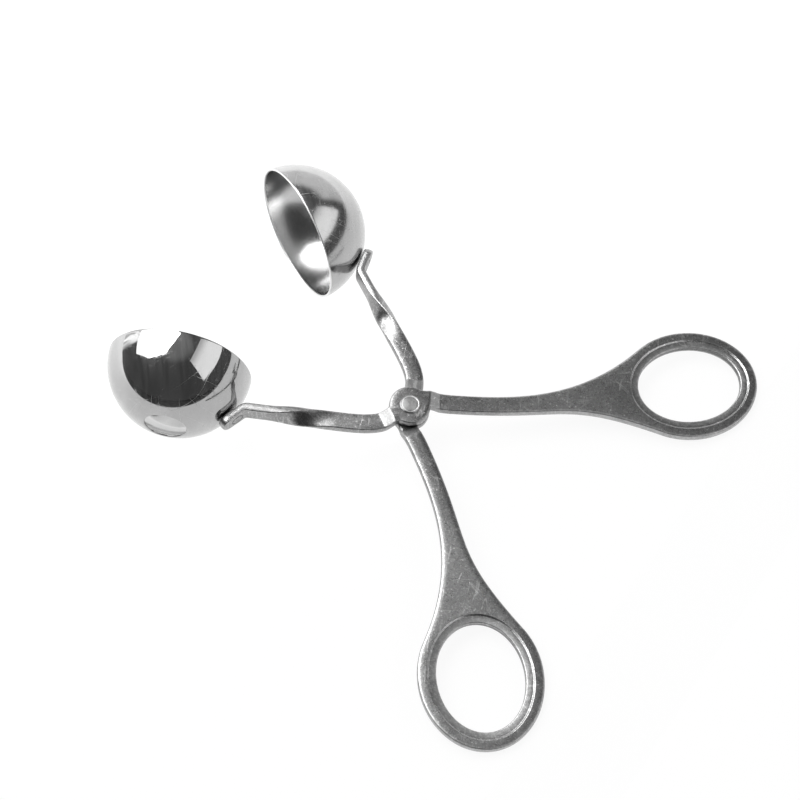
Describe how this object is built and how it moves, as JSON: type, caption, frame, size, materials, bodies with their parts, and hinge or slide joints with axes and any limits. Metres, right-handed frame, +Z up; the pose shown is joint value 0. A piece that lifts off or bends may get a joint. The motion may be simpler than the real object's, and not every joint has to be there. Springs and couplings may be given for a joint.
{
  "type": "meatball maker",
  "caption": "Scissor tongs in stainless steel with vented hemispherical bowls that close to a ball, and oval finger rings.",
  "frame": {"origin": "on the table under the middle of the tool as it lies open", "axes": "+X from the bowls towards the finger rings, +Y towards the front arm's ring, +Z up from the table; the tool's own plane leans about Y, low at the rings"},
  "size_m": [0.1706, 0.1614, 0.0449],
  "materials": {
    "satin_steel": "tumbled satin",
    "polished_steel": "mirror polished, lightly scratched",
    "rivet_steel": "turned satin"
  },
  "bodies": {
    "rear_half": {"rear_arm": "satin_steel", "rear_bowl": "polished_steel", "pivot_rivet": "rivet_steel"},
    "front_half": {"front_arm": "satin_steel", "front_bowl": "polished_steel"}
  },
  "joints": [
    {"name": "scissor_pivot", "type": "hinge", "parent": "rear_half", "child": "front_half", "pos_m": [-0.00033, 0, 0.01337], "axis": [0.1393, 0, 0.9902], "range_deg": [-50, 15]}
  ]
}
